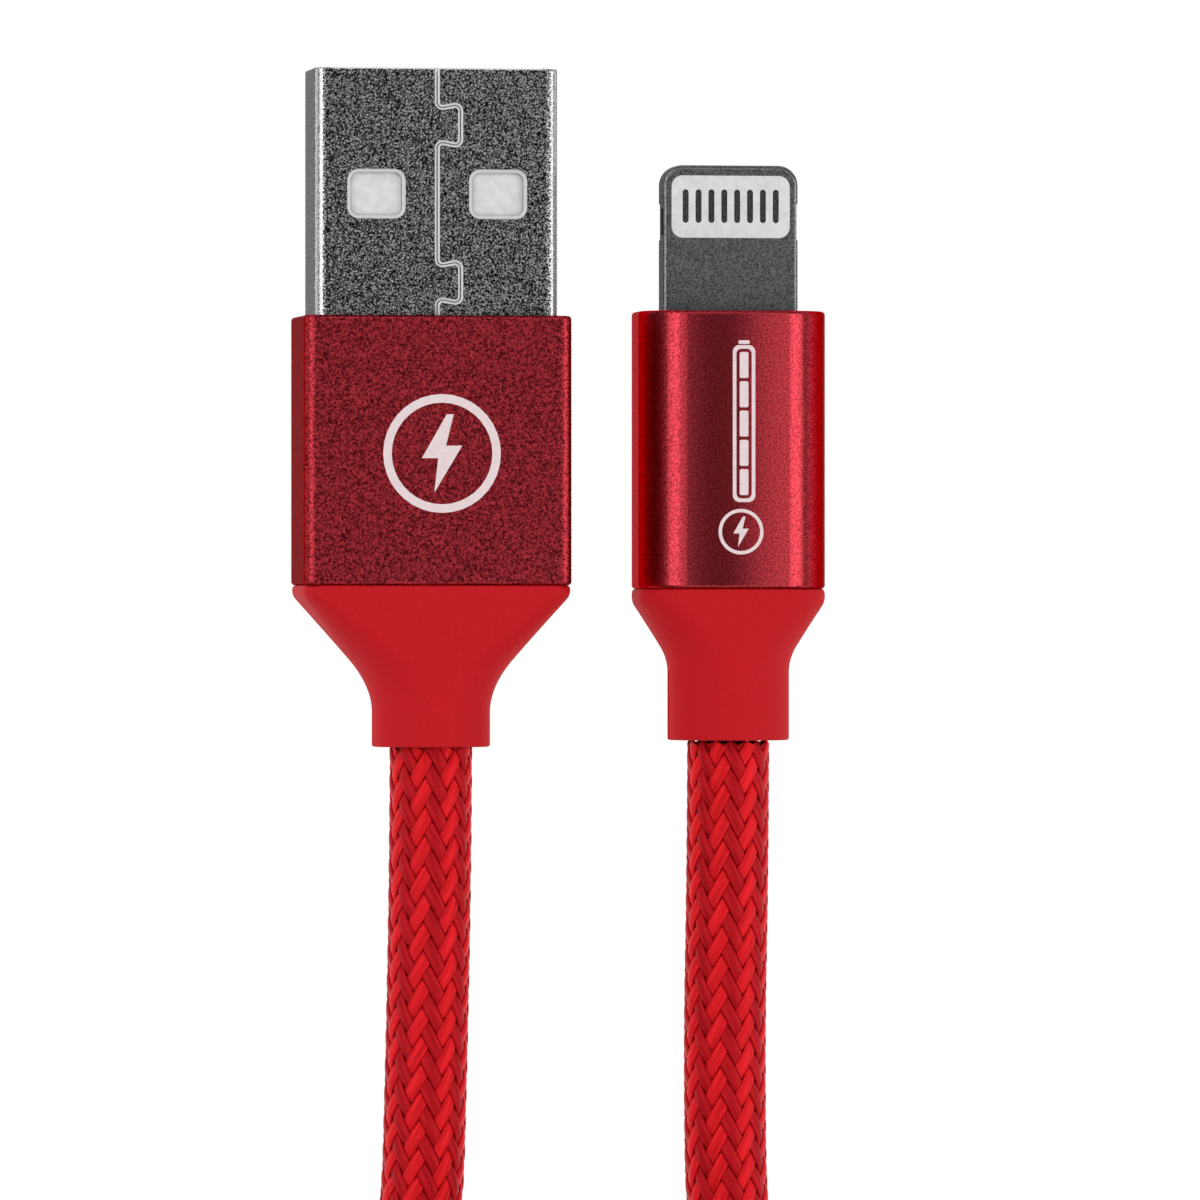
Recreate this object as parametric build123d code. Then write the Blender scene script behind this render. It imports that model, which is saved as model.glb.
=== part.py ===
from build123d import *
import math
import os

os.makedirs("parts", exist_ok=True)

# A braided charging cable with a USB-A plug at one end and a slim eight-contact plug at the other.
# Millimetres. Both plugs lie flat and side by side, tips towards +Y, with Z up. The origin is under the
# middle of the two plugs. The cable runs off towards -Y into a tied hank.
# Each plug is built with its tip at the origin and its axis along -Y, so that a distance called
# something_at is measured back from that plug's tip. It is then put in its place.

# Cable, from the wires outwards
WIRE_DIAMETER = 0.75
WIRE_OFFSET = 0.56 * WIRE_DIAMETER  # from the cable's axis to a wire's axis, sideways and up
JACKET_ROOM = 0.18  # loose filler between the wires and the jacket
BRAID_THICKNESS = 0.4
CABLE_DIAMETER = 4.1
JACKET_DIAMETER = CABLE_DIAMETER - 2 * BRAID_THICKNESS
JACKET_BORE = 2 * (WIRE_OFFSET * math.sqrt(2) + WIRE_DIAMETER / 2 + JACKET_ROOM)
CRIMP_WALL = 0.15
CRIMP_LENGTH = 1.5

# Shared by both plugs
END_SPACING = 14.8  # between the two plugs' axes
HOUSING_THICKNESS = 6.0
FIT = 0.05  # clearance on each side of a piece in its pocket
RIM_ROUND = 0.18  # the rounding of a housing's two ends
BOOT_SHOULDER_ROUND = 0.32
COLLAR_ROUND = 0.2
SPIGOT_LENGTH = 1.45  # how far a boot reaches into its housing
WIRE_SHOW = 0.6  # bare run of each wire where it leaves the solder
SOLDER_SIZE = (0.9, 1.1, 0.5)  # across, along, up

# USB-A plug
SHELL_WIDTH = 12.0
SHELL_HEIGHT = 4.5
SHELL_WALL = 0.3
SHELL_CORNER = 0.6
SHELL_LENGTH = 18.75
SHELL_SHOWN = 12.1  # ahead of the housing
SHELL_RIM_ROUND = 0.1
WINDOW_SIZE = (2.55, 2.1)
WINDOW_CORNER = 0.4
WINDOW_BEVEL = 0.16
WINDOW_SPACING = 6.0
WINDOW_AT = 6.16
SEAM_GAP = 0.05
SEAM_BEVEL = 0.1
TAB_REACH = 1.15
TAB_NECK = 1.6
TAB_HEAD = 2.05
TAB_ROUND = 0.27
TABS_AT = (2.79, 10.48)
TONGUE_AT = 0.45
CAVITY_DEPTH = 12.0
INSULATOR_END_AT = 17.0
CONTACT_WIDTH = 1.0
CONTACT_THICKNESS = 0.35
CONTACT_PROUD = 0.05
CONTACT_TAIL = 1.4
USB_CONTACTS = {  # name: (place across the plug, distance of its front end behind the tip)
    "ground": (-3.5, 1.3),
    "data_plus": (-1.0, 2.3),
    "data_minus": (1.0, 2.3),
    "power": (3.5, 1.3),
}
USB_SIDE_WALL = 0.55
USB_CORNER = 0.6
USB_HOUSING_LENGTH = 13.18
USB_WIRE_CHAMBER = (8.6, 3.3)  # across and up
USB_JACKET_AT = 22.0  # where the jacket is stripped
USB_COLLAR_WALL = 0.85
USB_BOOT_LENGTH = 7.92
USB_BOOT_STRAIGHT = 0.5  # full-width stretch before the taper
USB_BOOT_TAPER = 39.5  # degrees
USB_BOOT_BLEND = 3.2  # radius that joins the taper to the collar

# Eight-contact plug
TONGUE_WIDTH = 6.75
TONGUE_THICKNESS = 1.5
TONGUE_SHOWN = 7.2
TONGUE_CORNER = 0.98
TONGUE_EDGE_ROUND = 0.22
PLATE_SIZE = (5.9, 3.06)
PLATE_CORNER = 0.55
PLATE_AT = 0.51
PAD_COUNT = 8
PAD_PITCH = 0.643
PAD_SIZE = (0.3, 1.65)
PAD_AT = 1.19
PAD_SUNK = 0.03
NOTCH_AT = 1.85
NOTCH_LENGTH = 1.85
NOTCH_DEPTH = 0.08
NOTCH_SCOOP = 0.28
FRAME_BASE_MARGIN = 0.3  # of the tongue's base beyond the tongue, each side
FRAME_BASE_HEIGHT = 3.0
FRAME_BASE_LENGTH = 1.8
BOARD_THICKNESS = 0.6
BOARD_TONGUE_WIDTH = 5.2
BOARD_TONGUE_AT = 0.9
BOARD_LENGTH = 6.4  # of its wide part
CHIP_SIZE = (3.0, 3.0, 0.7)
CAPACITOR_SIZE = (0.5, 1.0, 0.5)
CAPACITOR_SPACING = 1.3
CAN_WALL = 0.15
CAN_COVER = 0.4  # of mould above and below the can
CAN_SIDE_COVER = 0.25
CAN_TAIL = 0.6  # beyond the board
TIP_WALL = 0.6
TIP_CORNER = 2.1
TIP_MOULD_COVER = 0.325  # of mould on each side of the tongue's base
TIP_HOUSING_LENGTH = 13.65
TIP_MOULD_RECESS = 0.15
TIP_COLLAR_WALL = 0.95
TIP_BOOT_LENGTH = 7.45
TIP_BOOT_STRAIGHT = 0.65
TIP_BOOT_TAPER = 30.5
TIP_BOOT_BLEND = 2.0

# Hank: a long oval of cable, two strands wide and three high
HANK_COLUMNS = 2
HANK_LAYERS = 3
HANK_STRAIGHT = 29.0
HANK_FAR_SPREAD = 0.9 * CABLE_DIAMETER  # room for the strands as they change places round the far end
TIE_WIDTH = 8.0
TIE_THICKNESS = 0.9
TIE_ROUND = 2.0
TIE_TAB_LENGTH = 16.0
TIE_RAMP = 7.0

# Where the cable leaves each boot, along Y
USB_EXIT_Y = -16.6
TIP_EXIT_Y = -16.3

# Worked out from the above
USB_COLLAR = CABLE_DIAMETER + 2 * USB_COLLAR_WALL
TIP_COLLAR = CABLE_DIAMETER + 2 * TIP_COLLAR_WALL
AXIS_HEIGHT = max(HOUSING_THICKNESS, USB_COLLAR, TIP_COLLAR) / 2
USB_HOUSING_WIDTH = SHELL_WIDTH + 2 * (FIT + USB_SIDE_WALL)
FRAME_BASE_WIDTH = TONGUE_WIDTH + 2 * FRAME_BASE_MARGIN
TIP_HOUSING_WIDTH = FRAME_BASE_WIDTH + 2 * (TIP_MOULD_COVER + FIT + TIP_WALL)
USB_REAR_AT = SHELL_SHOWN + USB_HOUSING_LENGTH
USB_END_AT = USB_REAR_AT + USB_BOOT_LENGTH
TIP_REAR_AT = TONGUE_SHOWN + TIP_HOUSING_LENGTH
TIP_END_AT = TIP_REAR_AT + TIP_BOOT_LENGTH
USB_X = USB_HOUSING_WIDTH / 2 - (USB_HOUSING_WIDTH / 2 + END_SPACING + TIP_HOUSING_WIDTH / 2) / 2
TIP_X = USB_X + END_SPACING
USB_TIP_Y = USB_EXIT_Y + USB_END_AT
TIP_TIP_Y = TIP_EXIT_Y + TIP_END_AT

SHELL_INSIDE = (SHELL_WIDTH - 2 * SHELL_WALL, SHELL_HEIGHT - 2 * SHELL_WALL)
USB_BORE = (SHELL_WIDTH + 2 * FIT, SHELL_HEIGHT + 2 * FIT)
TIP_BORE = (TIP_HOUSING_WIDTH - 2 * TIP_WALL, HOUSING_THICKNESS - 2 * TIP_WALL)
FRAME_BASE_AT = TONGUE_SHOWN + TIP_MOULD_RECESS + FIT
FRAME_END_AT = FRAME_BASE_AT + FRAME_BASE_LENGTH
CAN_WIDTH = TIP_BORE[0] - 2 * (FIT + CAN_SIDE_COVER)
CAN_HEIGHT = TIP_BORE[1] - 2 * (FIT + CAN_COVER)
BOARD_WIDTH = CAN_WIDTH - 2 * CAN_WALL - 2 * FIT
BOARD_END_AT = FRAME_END_AT + BOARD_LENGTH
CAN_END_AT = BOARD_END_AT + CAN_TAIL
TIP_JACKET_AT = CAN_END_AT + FIT


def bar(size, corner, start, end, x=0.0, z=0.0):
    """A bar along the plug, of rounded-rectangle section, between two distances behind the tip."""
    outline = RectangleRounded(*size, corner) if corner else Rectangle(*size)
    return extrude(Plane.XZ.offset(start) * Pos(x, z) * outline, end - start)


def rod(diameter, start, end, x=0.0, z=0.0):
    """A round bar along the plug, between two distances behind the tip."""
    return extrude(Plane.XZ.offset(start) * Pos(x, z) * Circle(diameter / 2), end - start)


def shrunk(size, by):
    """A width and a height, each less by the same amount on both sides."""
    return (size[0] - 2 * by, size[1] - 2 * by)


def round_ends(solid, radius):
    """Rounds the outer edges of a bar at both ends."""
    ends = solid.edges().group_by(Axis.Y)
    return fillet(ends[0] + ends[-1], radius)


def edges_near(solid, x, y, reach_x, reach_y, height):
    """The edges at a height whose middles are within a box about x, y."""
    found = []
    for edge in solid.edges().filter_by_position(Axis.Z, height - 1e-3, height + 1e-3):
        middle = edge.center()
        if abs(middle.X - x) < reach_x and abs(middle.Y - y) < reach_y:
            found.append(edge)
    return found


def seam_band(width):
    """A band of that width along the seam: a straight joint down the middle with two dovetail tabs."""
    points = [(-SHELL_WIDTH, 1), (0, 1)]
    for at in TABS_AT:
        points += [(0, TAB_NECK / 2 - at), (TAB_REACH, TAB_HEAD / 2 - at)]
        points += [(TAB_REACH, -TAB_HEAD / 2 - at), (0, -TAB_NECK / 2 - at)]
    points += [(0, -SHELL_LENGTH - 1), (-SHELL_WIDTH, -SHELL_LENGTH - 1)]
    side = make_face(Polyline(*points, close=True))
    inside = [v for v in side.vertices() if -SHELL_LENGTH < v.Y < 0 and v.X > -1]
    side = fillet(inside, TAB_ROUND)
    return offset(side, width / 2) - offset(side, -width / 2)


def usb_shell():
    """Folded steel: a flat tube with four windows and a locked seam along the middle of its top face."""
    shell = bar((SHELL_WIDTH, SHELL_HEIGHT), SHELL_CORNER, 0, SHELL_LENGTH)
    shell = round_ends(shell, SHELL_RIM_ROUND)
    shell -= bar(SHELL_INSIDE, SHELL_CORNER - SHELL_WALL, -1, SHELL_LENGTH + 1)
    top = SHELL_HEIGHT / 2
    for x in (-WINDOW_SPACING / 2, WINDOW_SPACING / 2):
        window = RectangleRounded(*WINDOW_SIZE, WINDOW_CORNER)
        shell -= extrude(Pos(x, -WINDOW_AT, -SHELL_HEIGHT) * window, 2 * SHELL_HEIGHT)
    for x in (-WINDOW_SPACING / 2, WINDOW_SPACING / 2):
        for height in (top, -top):
            rim = edges_near(shell, x, -WINDOW_AT, WINDOW_SIZE[0] * 0.6, WINDOW_SIZE[1] * 0.6, height)
            shell = chamfer(rim, WINDOW_BEVEL)
    cut = extrude(Pos(0, 0, top - 2 * SHELL_WALL) * seam_band(SEAM_GAP), 3 * SHELL_WALL)
    groove = Pos(0, 0, top) * seam_band(SEAM_GAP + 2 * SEAM_BEVEL)
    return shell - cut - extrude(groove, -SEAM_BEVEL, taper=45)


def usb_insulator():
    """White plastic: a tongue in the shell's upper half and a full-height block behind it."""
    width, height = shrunk(SHELL_INSIDE, FIT / 2)
    corner = SHELL_CORNER - SHELL_WALL
    block = bar((width, height), corner, CAVITY_DEPTH, INSULATOR_END_AT)
    block += bar((width, height / 2), corner, TONGUE_AT, CAVITY_DEPTH, z=height / 4)
    for name in USB_CONTACTS:
        block -= usb_contact(name)
    return block


def usb_contact(name):
    """One gold-plated contact in its slot in the tongue, with a solder tail behind the block."""
    x, start = USB_CONTACTS[name]
    size = (CONTACT_WIDTH, CONTACT_THICKNESS)
    middle = CONTACT_THICKNESS / 2 - CONTACT_PROUD
    return bar(size, 0, start, INSULATOR_END_AT + CONTACT_TAIL, x, middle)


def solder(x, z, front):
    """One solder joint, its front at a distance behind the tip, standing on height z."""
    across, along, up = SOLDER_SIZE
    middle = z + math.copysign(up / 2, z)
    return bar((across, up), 0.2, front, front + along, x, middle)


def wire(x, z, front, jacket_at, end_at, side, level):
    """One insulated wire, from its solder joint to its place inside the jacket and on to the boot's end."""
    inside = (side * WIRE_OFFSET, level * WIRE_OFFSET)
    points = [(x, -front, z), (x, -front - WIRE_SHOW, z)]
    points += [(inside[0], -jacket_at + 0.1, inside[1]), (inside[0], -end_at, inside[1])]
    path = FilletPolyline(*points, radius=0.35)
    section = Plane(origin=path @ 0, z_dir=path % 0) * Circle(WIRE_DIAMETER / 2)
    return sweep(section, path=path)


def jacket_end(start, end):
    """The jacket of the cable where a plug holds it."""
    return rod(JACKET_DIAMETER, start, end) - rod(JACKET_BORE, start - 1, end + 1)


def braid_end(start, end):
    """The braid of the cable where a boot holds it."""
    return rod(CABLE_DIAMETER, start, end) - rod(JACKET_DIAMETER, start - 1, end + 1)


def crimp_ring(start):
    """The pressed ring that clamps the braid's end on the jacket."""
    ring = rod(CABLE_DIAMETER + 2 * CRIMP_WALL, start, start + CRIMP_LENGTH)
    return ring - rod(CABLE_DIAMETER, start - 1, start + CRIMP_LENGTH + 1)


def tapered_boot(width, corner, collar, straight, taper, blend, start, end):
    """A boot's outside: the housing's section, a straight taper, an arc of radius blend, a round collar."""
    slope = math.radians(taper)
    arc_rise = blend * (1 - math.cos(slope))
    line_length = (width / 2 - collar / 2 - arc_rise) / math.tan(slope)
    line_end = start + straight + line_length
    stations = [(start + straight, width)]
    for share in (1, 0.8, 0.6, 0.4, 0.2, 0):
        turn = slope * share
        at = line_end + blend * (math.sin(slope) - math.sin(turn))
        stations.append((at, collar + 2 * blend * (1 - math.cos(turn))))
    last = stations[-1][0]
    sections = []
    for at, across in stations:
        done = (width - across) / (width - collar)
        height = HOUSING_THICKNESS + (collar - HOUSING_THICKNESS) * done
        round_corner = corner + (0.49 * collar - corner) * math.sin(math.pi / 2 * done)
        sections.append(Plane.XZ.offset(at) * RectangleRounded(across, height, round_corner))
    shoulder = bar((width, HOUSING_THICKNESS), corner, start, start + straight)
    shoulder = fillet(shoulder.edges().group_by(Axis.Y)[-1], BOOT_SHOULDER_ROUND)
    tail = rod(collar, last, end)
    tail = fillet(tail.edges().group_by(Axis.Y)[0], COLLAR_ROUND)
    return shoulder + loft(sections, ruled=True) + tail


def boot(width, corner, collar, straight, taper, blend, bore, bore_corner, start, end, crimp_at):
    """The soft strain relief behind a housing: its outside, its spigot, and room for what it holds."""
    solid = tapered_boot(width, corner, collar, straight, taper, blend, start, end)
    solid += bar(shrunk(bore, FIT), bore_corner, start - SPIGOT_LENGTH, start + straight / 2)
    solid -= rod(JACKET_DIAMETER, start - SPIGOT_LENGTH - 1, end + 1)
    solid -= rod(CABLE_DIAMETER, crimp_at, end + 1)
    return solid - rod(CABLE_DIAMETER + 2 * CRIMP_WALL, crimp_at, crimp_at + CRIMP_LENGTH)


def usb_housing():
    """The anodised sleeve over the back of the USB-A shell."""
    size = (USB_HOUSING_WIDTH, HOUSING_THICKNESS)
    sleeve = round_ends(bar(size, USB_CORNER, SHELL_SHOWN, USB_REAR_AT), RIM_ROUND)
    return sleeve - bar(USB_BORE, SHELL_CORNER, SHELL_SHOWN - 1, USB_REAR_AT + 1)


def usb_inner_mould():
    """The plastic that fills the sleeve behind the shell, round the chamber of the soldered wires."""
    end = USB_REAR_AT - SPIGOT_LENGTH - FIT
    mould = bar(shrunk(USB_BORE, FIT), SHELL_CORNER, SHELL_LENGTH + FIT, end)
    mould -= bar(USB_WIRE_CHAMBER, 0.5, SHELL_LENGTH, USB_JACKET_AT)
    return mould - rod(JACKET_DIAMETER, USB_JACKET_AT - 1, end + 1)


def tip_tongue():
    """The outside of the eight-contact plug's metal tongue, with its round front corners and notches."""
    outline = Rectangle(TONGUE_WIDTH, 2 * TONGUE_SHOWN)
    front = outline.vertices().group_by(Axis.Y)[-1]
    outline = Pos(0, -TONGUE_SHOWN) * fillet(front, TONGUE_CORNER)
    tongue = extrude(Pos(0, 0, -TONGUE_THICKNESS / 2) * outline, TONGUE_THICKNESS)
    rims = tongue.edges().filter_by(Plane.XY)
    rear = tongue.edges().group_by(Axis.Y)[0]
    tongue = fillet([edge for edge in rims if edge not in rear], TONGUE_EDGE_ROUND)
    tongue &= Pos(0, -FRAME_BASE_AT / 2 + 1, 0) * Box(20, FRAME_BASE_AT + 2, 20)
    for side in (-1, 1):
        edge = side * TONGUE_WIDTH / 2
        middle = -NOTCH_AT - NOTCH_LENGTH / 2
        notch = Box(2 * NOTCH_DEPTH, NOTCH_LENGTH, 2 * TONGUE_THICKNESS)
        notch = chamfer(notch.edges().filter_by(Axis.Z), NOTCH_DEPTH * 0.95)
        tongue -= Pos(edge, middle, 0) * notch
        scoop = Ellipse(NOTCH_SCOOP, NOTCH_LENGTH / 2.6)
        tongue -= extrude(Pos(edge, middle, -TONGUE_THICKNESS / 4) * scoop, TONGUE_THICKNESS / 2)
    return tongue


def tip_opening(margin=0.0):
    """The rectangular opening through the tongue that the white plate fills."""
    size = (PLATE_SIZE[0] + 2 * margin, PLATE_SIZE[1] + 2 * margin)
    place = Pos(0, -PLATE_AT - PLATE_SIZE[1] / 2, -TONGUE_THICKNESS)
    return extrude(place * RectangleRounded(*size, PLATE_CORNER), 2 * TONGUE_THICKNESS)


def tip_board():
    """The circuit board: a narrow tongue between the two rows of contacts and a wide part behind."""
    wide_at = FRAME_END_AT + CAN_WALL + 2 * FIT
    board = bar((BOARD_TONGUE_WIDTH, BOARD_THICKNESS), 0, BOARD_TONGUE_AT, wide_at)
    return board + bar((BOARD_WIDTH, BOARD_THICKNESS), 0, wide_at, BOARD_END_AT)


def tip_frame():
    """The metal tongue and the base that anchors it in the mould, slotted for the circuit board."""
    frame = tip_tongue()
    frame += bar((FRAME_BASE_WIDTH, FRAME_BASE_HEIGHT), 0.4, FRAME_BASE_AT, FRAME_END_AT)
    frame -= tip_opening()
    slot = (BOARD_TONGUE_WIDTH, BOARD_THICKNESS)
    return frame - bar(slot, 0, PLATE_AT + PLATE_SIZE[1] / 2, FRAME_END_AT + 1)


def tip_pads(side, sunk=PAD_SUNK):
    """The eight contacts of one face, soldered to the board and level with the plate, with round ends."""
    pads = []
    start = BOARD_THICKNESS / 2
    height = TONGUE_THICKNESS / 2 - sunk - start
    for number in range(PAD_COUNT):
        x = (number - (PAD_COUNT - 1) / 2) * PAD_PITCH
        outline = SlotOverall(PAD_SIZE[1], PAD_SIZE[0], rotation=90)
        pad = extrude(Pos(x, -PAD_AT - PAD_SIZE[1] / 2, start) * outline, height)
        pads.append(pad if side > 0 else mirror(pad, Plane.XY))
    return Compound(children=pads)


def tip_insulator():
    """The white plate of both faces, moulded round the contacts and the board's front end."""
    plate = tip_opening() & Box(20, 20, TONGUE_THICKNESS)
    plate -= tip_board()
    for side in (1, -1):
        for pad in tip_pads(side, -1).solids():
            plate -= pad
    return plate


def tip_chip():
    """The controller chip on top of the board."""
    across, along, up = CHIP_SIZE
    start = FRAME_END_AT + 0.8
    return bar((across, up), 0, start, start + along, 0, BOARD_THICKNESS / 2 + up / 2)


def tip_capacitors():
    """Three capacitors in a row under the board."""
    across, along, up = CAPACITOR_SIZE
    start = FRAME_END_AT + 1.2
    row = []
    for place in (-1, 0, 1):
        z = -BOARD_THICKNESS / 2 - up / 2
        row.append(bar((across, up), 0, start, start + along, place * CAPACITOR_SPACING, z))
    return Compound(children=row)


def tip_shield_can(side):
    """Half of the pressed tinplate can round the board: side 1 is the upper half, -1 the lower."""
    outside = bar((CAN_WIDTH, CAN_HEIGHT), 0.5, FRAME_END_AT + FIT, CAN_END_AT)
    inside = (CAN_WIDTH - 2 * CAN_WALL, CAN_HEIGHT - 2 * CAN_WALL)
    can = outside - bar(inside, 0.35, FRAME_END_AT + FIT + CAN_WALL, CAN_END_AT + 1)
    can -= bar((BOARD_TONGUE_WIDTH, BOARD_THICKNESS + 2 * FIT), 0, FRAME_END_AT - 1, FRAME_END_AT + 1)
    return can & Pos(0, 0, side * (CAN_HEIGHT / 2 + FIT / 2)) * Box(20, 80, CAN_HEIGHT)


def tip_inner_mould():
    """The plastic that fills the tip's sleeve round the tongue's base, the shield can and the jacket."""
    start = TONGUE_SHOWN + TIP_MOULD_RECESS
    end = TIP_REAR_AT - SPIGOT_LENGTH - FIT
    mould = bar(shrunk(TIP_BORE, FIT), TIP_CORNER - TIP_WALL, start, end)
    mould -= bar((TONGUE_WIDTH, TONGUE_THICKNESS), 0.2, start - 1, FRAME_BASE_AT)
    mould -= bar((FRAME_BASE_WIDTH, FRAME_BASE_HEIGHT), 0.4, FRAME_BASE_AT, FRAME_END_AT)
    mould -= bar((CAN_WIDTH, CAN_HEIGHT + FIT), 0.5, FRAME_END_AT, CAN_END_AT)
    return mould - rod(JACKET_DIAMETER, CAN_END_AT - 1, end + 1)


def tip_housing():
    """The anodised sleeve of the eight-contact plug, of softer section than the other one."""
    size = (TIP_HOUSING_WIDTH, HOUSING_THICKNESS)
    sleeve = round_ends(bar(size, TIP_CORNER, TONGUE_SHOWN, TIP_REAR_AT), RIM_ROUND)
    return sleeve - bar(TIP_BORE, TIP_CORNER - TIP_WALL, TONGUE_SHOWN - 1, TIP_REAR_AT + 1)


# Route of the two visible ends of the cable, from each boot to the hank. The points are chosen by hand.
FLOOR = 2.05  # height of the cable's axis where it lies on the surface
USB_ROUTE = [
    (-6.425, USB_EXIT_Y, 3.0),
    (-6.44, -22.0, 2.93),
    (-6.52, -31.5, 2.2),
    (-6.8, -42.0, FLOOR),
    (-10.7, -53.5, FLOOR),
    (-11.3, -61.45, FLOOR),
]
TIP_ROUTE = [
    (8.375, TIP_EXIT_Y, 3.0),
    (8.37, -22.4, 2.9),
    (8.3, -32.0, 2.18),
    (8.5, -42.5, FLOOR),
    (12.72, -54.0, FLOOR),
    (13.3, -61.45, FLOOR),
]

# The hank takes over where the two routes end. Its inner turns are three cable diameters in radius.
HANK_X = (USB_ROUTE[-1][0] + TIP_ROUTE[-1][0]) / 2
HANK_LOOP_Y = USB_ROUTE[-1][1]  # centre of the front end loop
HANK_INNER = HANK_X - USB_ROUTE[-1][0] - CABLE_DIAMETER / 2
HANK_OUTER = HANK_INNER + HANK_COLUMNS * CABLE_DIAMETER
HANK_HEIGHT = HANK_LAYERS * CABLE_DIAMETER
HANK_FRONT_Y = HANK_LOOP_Y + HANK_OUTER
HANK_WAIST_Y = HANK_LOOP_Y - HANK_STRAIGHT / 2


def cable_run(name, route):
    """A plain tube along straight runs joined by arcs as large as the runs allow, cut flush at both ends."""
    points = [Vector(*point) for point in route]
    front, back = points[0].Y, points[-1].Y
    points[0] += (points[0] - points[1]).normalized()
    points[-1] += (points[-1] - points[-2]).normalized()
    radii = []
    for before, corner, after in zip(points, points[1:], points[2:]):
        turn = (corner - before).get_angle(after - corner)
        shorter = min((corner - before).length, (after - corner).length)
        radii.append(0.45 * shorter / math.tan(math.radians(turn / 2)))
    path = FilletPolyline(*points, radius=radii)
    section = Plane(origin=path @ 0, z_dir=path % 0) * Circle(CABLE_DIAMETER / 2)
    tube = sweep(section, path=path)
    share = tube.volume / (math.pi * CABLE_DIAMETER**2 / 4 * path.length)
    print(name, "radii", [round(radius, 1) for radius in radii], "volume share", round(share, 4))
    return tube & Pos(0, (front + back) / 2, 0) * Box(200, front - back, 50)


def oval_ring(inner, outer, low, high):
    """A flat oval ring between two end radii, from one height to another."""
    length = 2 * outer + HANK_STRAIGHT + HANK_FAR_SPREAD
    hole = 2 * inner + HANK_STRAIGHT
    outline = Pos(0, -HANK_FAR_SPREAD / 2) * SlotOverall(length, 2 * outer, rotation=90)
    plan = outline - SlotOverall(hole, 2 * inner, rotation=90)
    return extrude(Pos(HANK_X, HANK_WAIST_Y, low) * plan, high - low)


def side_slab(outline):
    """A slab as wide as the hank with that outline, given as distance along Y and height."""
    face = make_face(Polyline(*outline, close=True))
    return Pos(HANK_X - 2 * HANK_OUTER, 0, 0) * extrude(Plane.YZ * face, 4 * HANK_OUTER)


def hank_profile(loop_low, loop_high):
    """The hank seen from the side: lifted at the waist by the tie, and at the front loop for the two ends."""
    back = HANK_WAIST_Y - HANK_STRAIGHT / 2 - HANK_OUTER - HANK_FAR_SPREAD - 1
    waist = [HANK_WAIST_Y - TIE_WIDTH / 2, HANK_WAIST_Y + TIE_WIDTH / 2]
    low = [(back, 0), (waist[0], 0), (waist[0], TIE_THICKNESS)]
    low += [(waist[1], TIE_THICKNESS), (waist[1], 0), (HANK_LOOP_Y, 0), (HANK_LOOP_Y, loop_low)]
    raised = HANK_HEIGHT + TIE_THICKNESS
    high = [(HANK_FRONT_Y + 1, loop_low), (HANK_FRONT_Y + 1, loop_high), (HANK_LOOP_Y, loop_high)]
    high += [(waist[1], raised), (waist[0], raised), (waist[0] - TIE_RAMP, HANK_HEIGHT)]
    return low + high + [(back, HANK_HEIGHT)]


def cable_hank():
    """The rest of the cable as one solid: the outer shape of its oval turns."""
    split = HANK_INNER + CABLE_DIAMETER
    tall = HANK_HEIGHT + 2 * CABLE_DIAMETER
    inner = oval_ring(HANK_INNER, split, 0, tall)
    inner &= side_slab(hank_profile(CABLE_DIAMETER, HANK_HEIGHT))
    outer = oval_ring(split, HANK_OUTER, 0, tall)
    outer &= side_slab(hank_profile(CABLE_DIAMETER, HANK_HEIGHT + CABLE_DIAMETER))
    return inner + outer


def hank_tie():
    """The hook-and-loop strap round the hank's waist, with the end that laps over on top."""
    inside = (2 * HANK_OUTER, HANK_HEIGHT)
    outside = (inside[0] + 2 * TIE_THICKNESS, inside[1] + 2 * TIE_THICKNESS)
    middle = TIE_THICKNESS + HANK_HEIGHT / 2
    start = -HANK_WAIST_Y - TIE_WIDTH / 2
    strap = bar(outside, TIE_ROUND, start, start + TIE_WIDTH, HANK_X, middle)
    strap -= bar(inside, 0, start - 1, start + TIE_WIDTH + 1, HANK_X, middle)
    tab = (TIE_TAB_LENGTH, TIE_THICKNESS)
    top = outside[1] + TIE_THICKNESS / 2
    return strap + bar(tab, 0.3, start, start + TIE_WIDTH, HANK_X + 4, top)


def write(name, solid, place=Pos(0, 0, 0)):
    """Moves a piece to its place and writes it."""
    export_step(place * solid, f"parts/{name}.step")


usb_place = Pos(USB_X, USB_TIP_Y, AXIS_HEIGHT)
usb_crimp_at = USB_REAR_AT + 0.6
contact_top = CONTACT_THICKNESS - CONTACT_PROUD
write("usb_shell", usb_shell(), usb_place)
write("usb_insulator", usb_insulator(), usb_place)
joints = []
for name, (x, _) in USB_CONTACTS.items():
    write(f"usb_contact_{name}", usb_contact(name), usb_place)
    joints.append(solder(x, contact_top, INSULATOR_END_AT + 0.2))
    side = math.copysign(1, x)
    level = -1 if abs(x) > 2 else 1
    front = INSULATOR_END_AT + 0.2 + SOLDER_SIZE[1]
    lead = wire(x, contact_top + SOLDER_SIZE[2] / 2, front, USB_JACKET_AT, USB_END_AT, side, level)
    write(f"usb_wire_{name}", lead, usb_place)
write("usb_solder_joints", Compound(children=joints), usb_place)
write("usb_inner_mould", usb_inner_mould(), usb_place)
write("usb_housing", usb_housing(), usb_place)
write("usb_jacket_end", jacket_end(USB_JACKET_AT, USB_END_AT), usb_place)
write("usb_braid_end", braid_end(usb_crimp_at, USB_END_AT), usb_place)
write("usb_crimp_ring", crimp_ring(usb_crimp_at), usb_place)
usb_boot = boot(USB_HOUSING_WIDTH, USB_CORNER, USB_COLLAR, USB_BOOT_STRAIGHT, USB_BOOT_TAPER, USB_BOOT_BLEND,
                USB_BORE, SHELL_CORNER, USB_REAR_AT, USB_END_AT, usb_crimp_at)
write("usb_boot", usb_boot, usb_place)

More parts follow.
